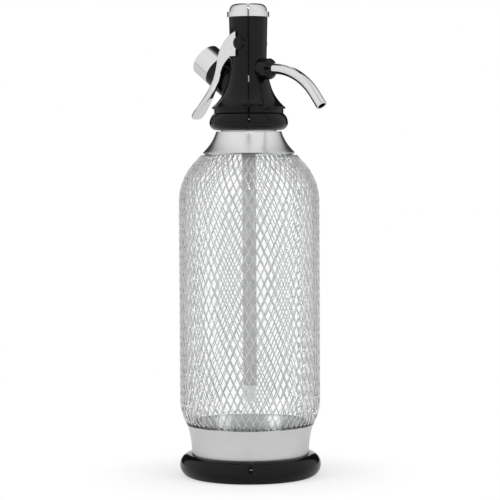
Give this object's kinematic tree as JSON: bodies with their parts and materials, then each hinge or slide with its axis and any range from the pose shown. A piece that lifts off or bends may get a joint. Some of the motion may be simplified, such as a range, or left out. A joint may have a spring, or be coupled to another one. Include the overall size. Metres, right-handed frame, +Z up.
{
  "type": "soda siphon",
  "caption": "Glass soda siphon in a wire mesh jacket, with a squeeze lever, a bent spout and a capped charger inlet.",
  "frame": {"origin": "middle of the foot's underside", "axes": "+Z up the bottle, +X towards the spout, the lever and the charger inlet on -X"},
  "size_m": [0.1342, 0.1126, 0.3744],
  "materials": {
    "black_moulding": "polished black moulding",
    "chrome": "polished chrome",
    "steel": "turned steel",
    "brushed_band": "brushed round the band",
    "glass": "clear",
    "mesh_wire": "bright woven wire",
    "rubber": "matt",
    "red_rubber": "matt dark red",
    "grey_tube": "grey tube",
    "clear_tube": "milky tube"
  },
  "bodies": {
    "bottle": {"foot_ring": "black_moulding", "base_band": "brushed_band", "glass_bottle": "glass", "wire_mesh": "mesh_wire", "shoulder_collar": "chrome", "neck_thread": "steel"},
    "head": {"trim_ring": "black_moulding", "head_gasket": "rubber", "siphon_head": "black_moulding", "riser_tube": "grey_tube", "riser_tip": "clear_tube", "valve_seat": "steel", "stem_washer": "red_rubber", "spout_nut": "black_moulding", "spout_seal": "rubber", "spout_tube": "chrome", "pivot_screws": "black_moulding", "piercing_pin": "steel", "inlet_seal": "red_rubber"},
    "neck_nut": {"neck_nut": "black_moulding"},
    "lever": {"lever": "chrome"},
    "valve": {"valve_stem": "steel", "valve_disc": "rubber", "valve_spring": "steel"},
    "top_cap": {"top_cap": "chrome", "top_cap_seal": "rubber"},
    "charger_cap": {"charger_cap": "chrome", "charger_cap_liner": "rubber"}
  },
  "joints": [
    {"name": "head_lift", "type": "slide", "parent": "bottle", "child": "head", "axis": [0, 0, 1], "range_m": [0, 0.235]},
    {"name": "neck_nut_turn", "type": "hinge", "parent": "head", "child": "neck_nut", "pos_m": [0, 0, 0.28], "axis": [0, 0, 1], "continuous": true},
    {"name": "lever_squeeze", "type": "hinge", "parent": "head", "child": "lever", "pos_m": [0.002, 0, 0.34301], "axis": [0, -1, 0], "range_deg": [0, 6.5], "stiffness_Nm_per_rad": 0.5, "springref_deg": -17.19},
    {"name": "valve_lift", "type": "slide", "parent": "head", "child": "valve", "axis": [0, 0, 1], "range_m": [0, 0.0007], "deforming": ["valve_spring"]},
    {"name": "top_cap_unscrew", "type": "slide", "parent": "head", "child": "top_cap", "axis": [0, 0, 1], "range_m": [0, 0.02]},
    {"name": "charger_cap_unscrew", "type": "slide", "parent": "head", "child": "charger_cap", "axis": [-0.8141, 0, 0.5807], "range_m": [0, 0.03]}
  ],
  "couplings": [
    {"joint": "valve_lift", "follows": "lever_squeeze", "m_per_rad": 0.0055}
  ]
}
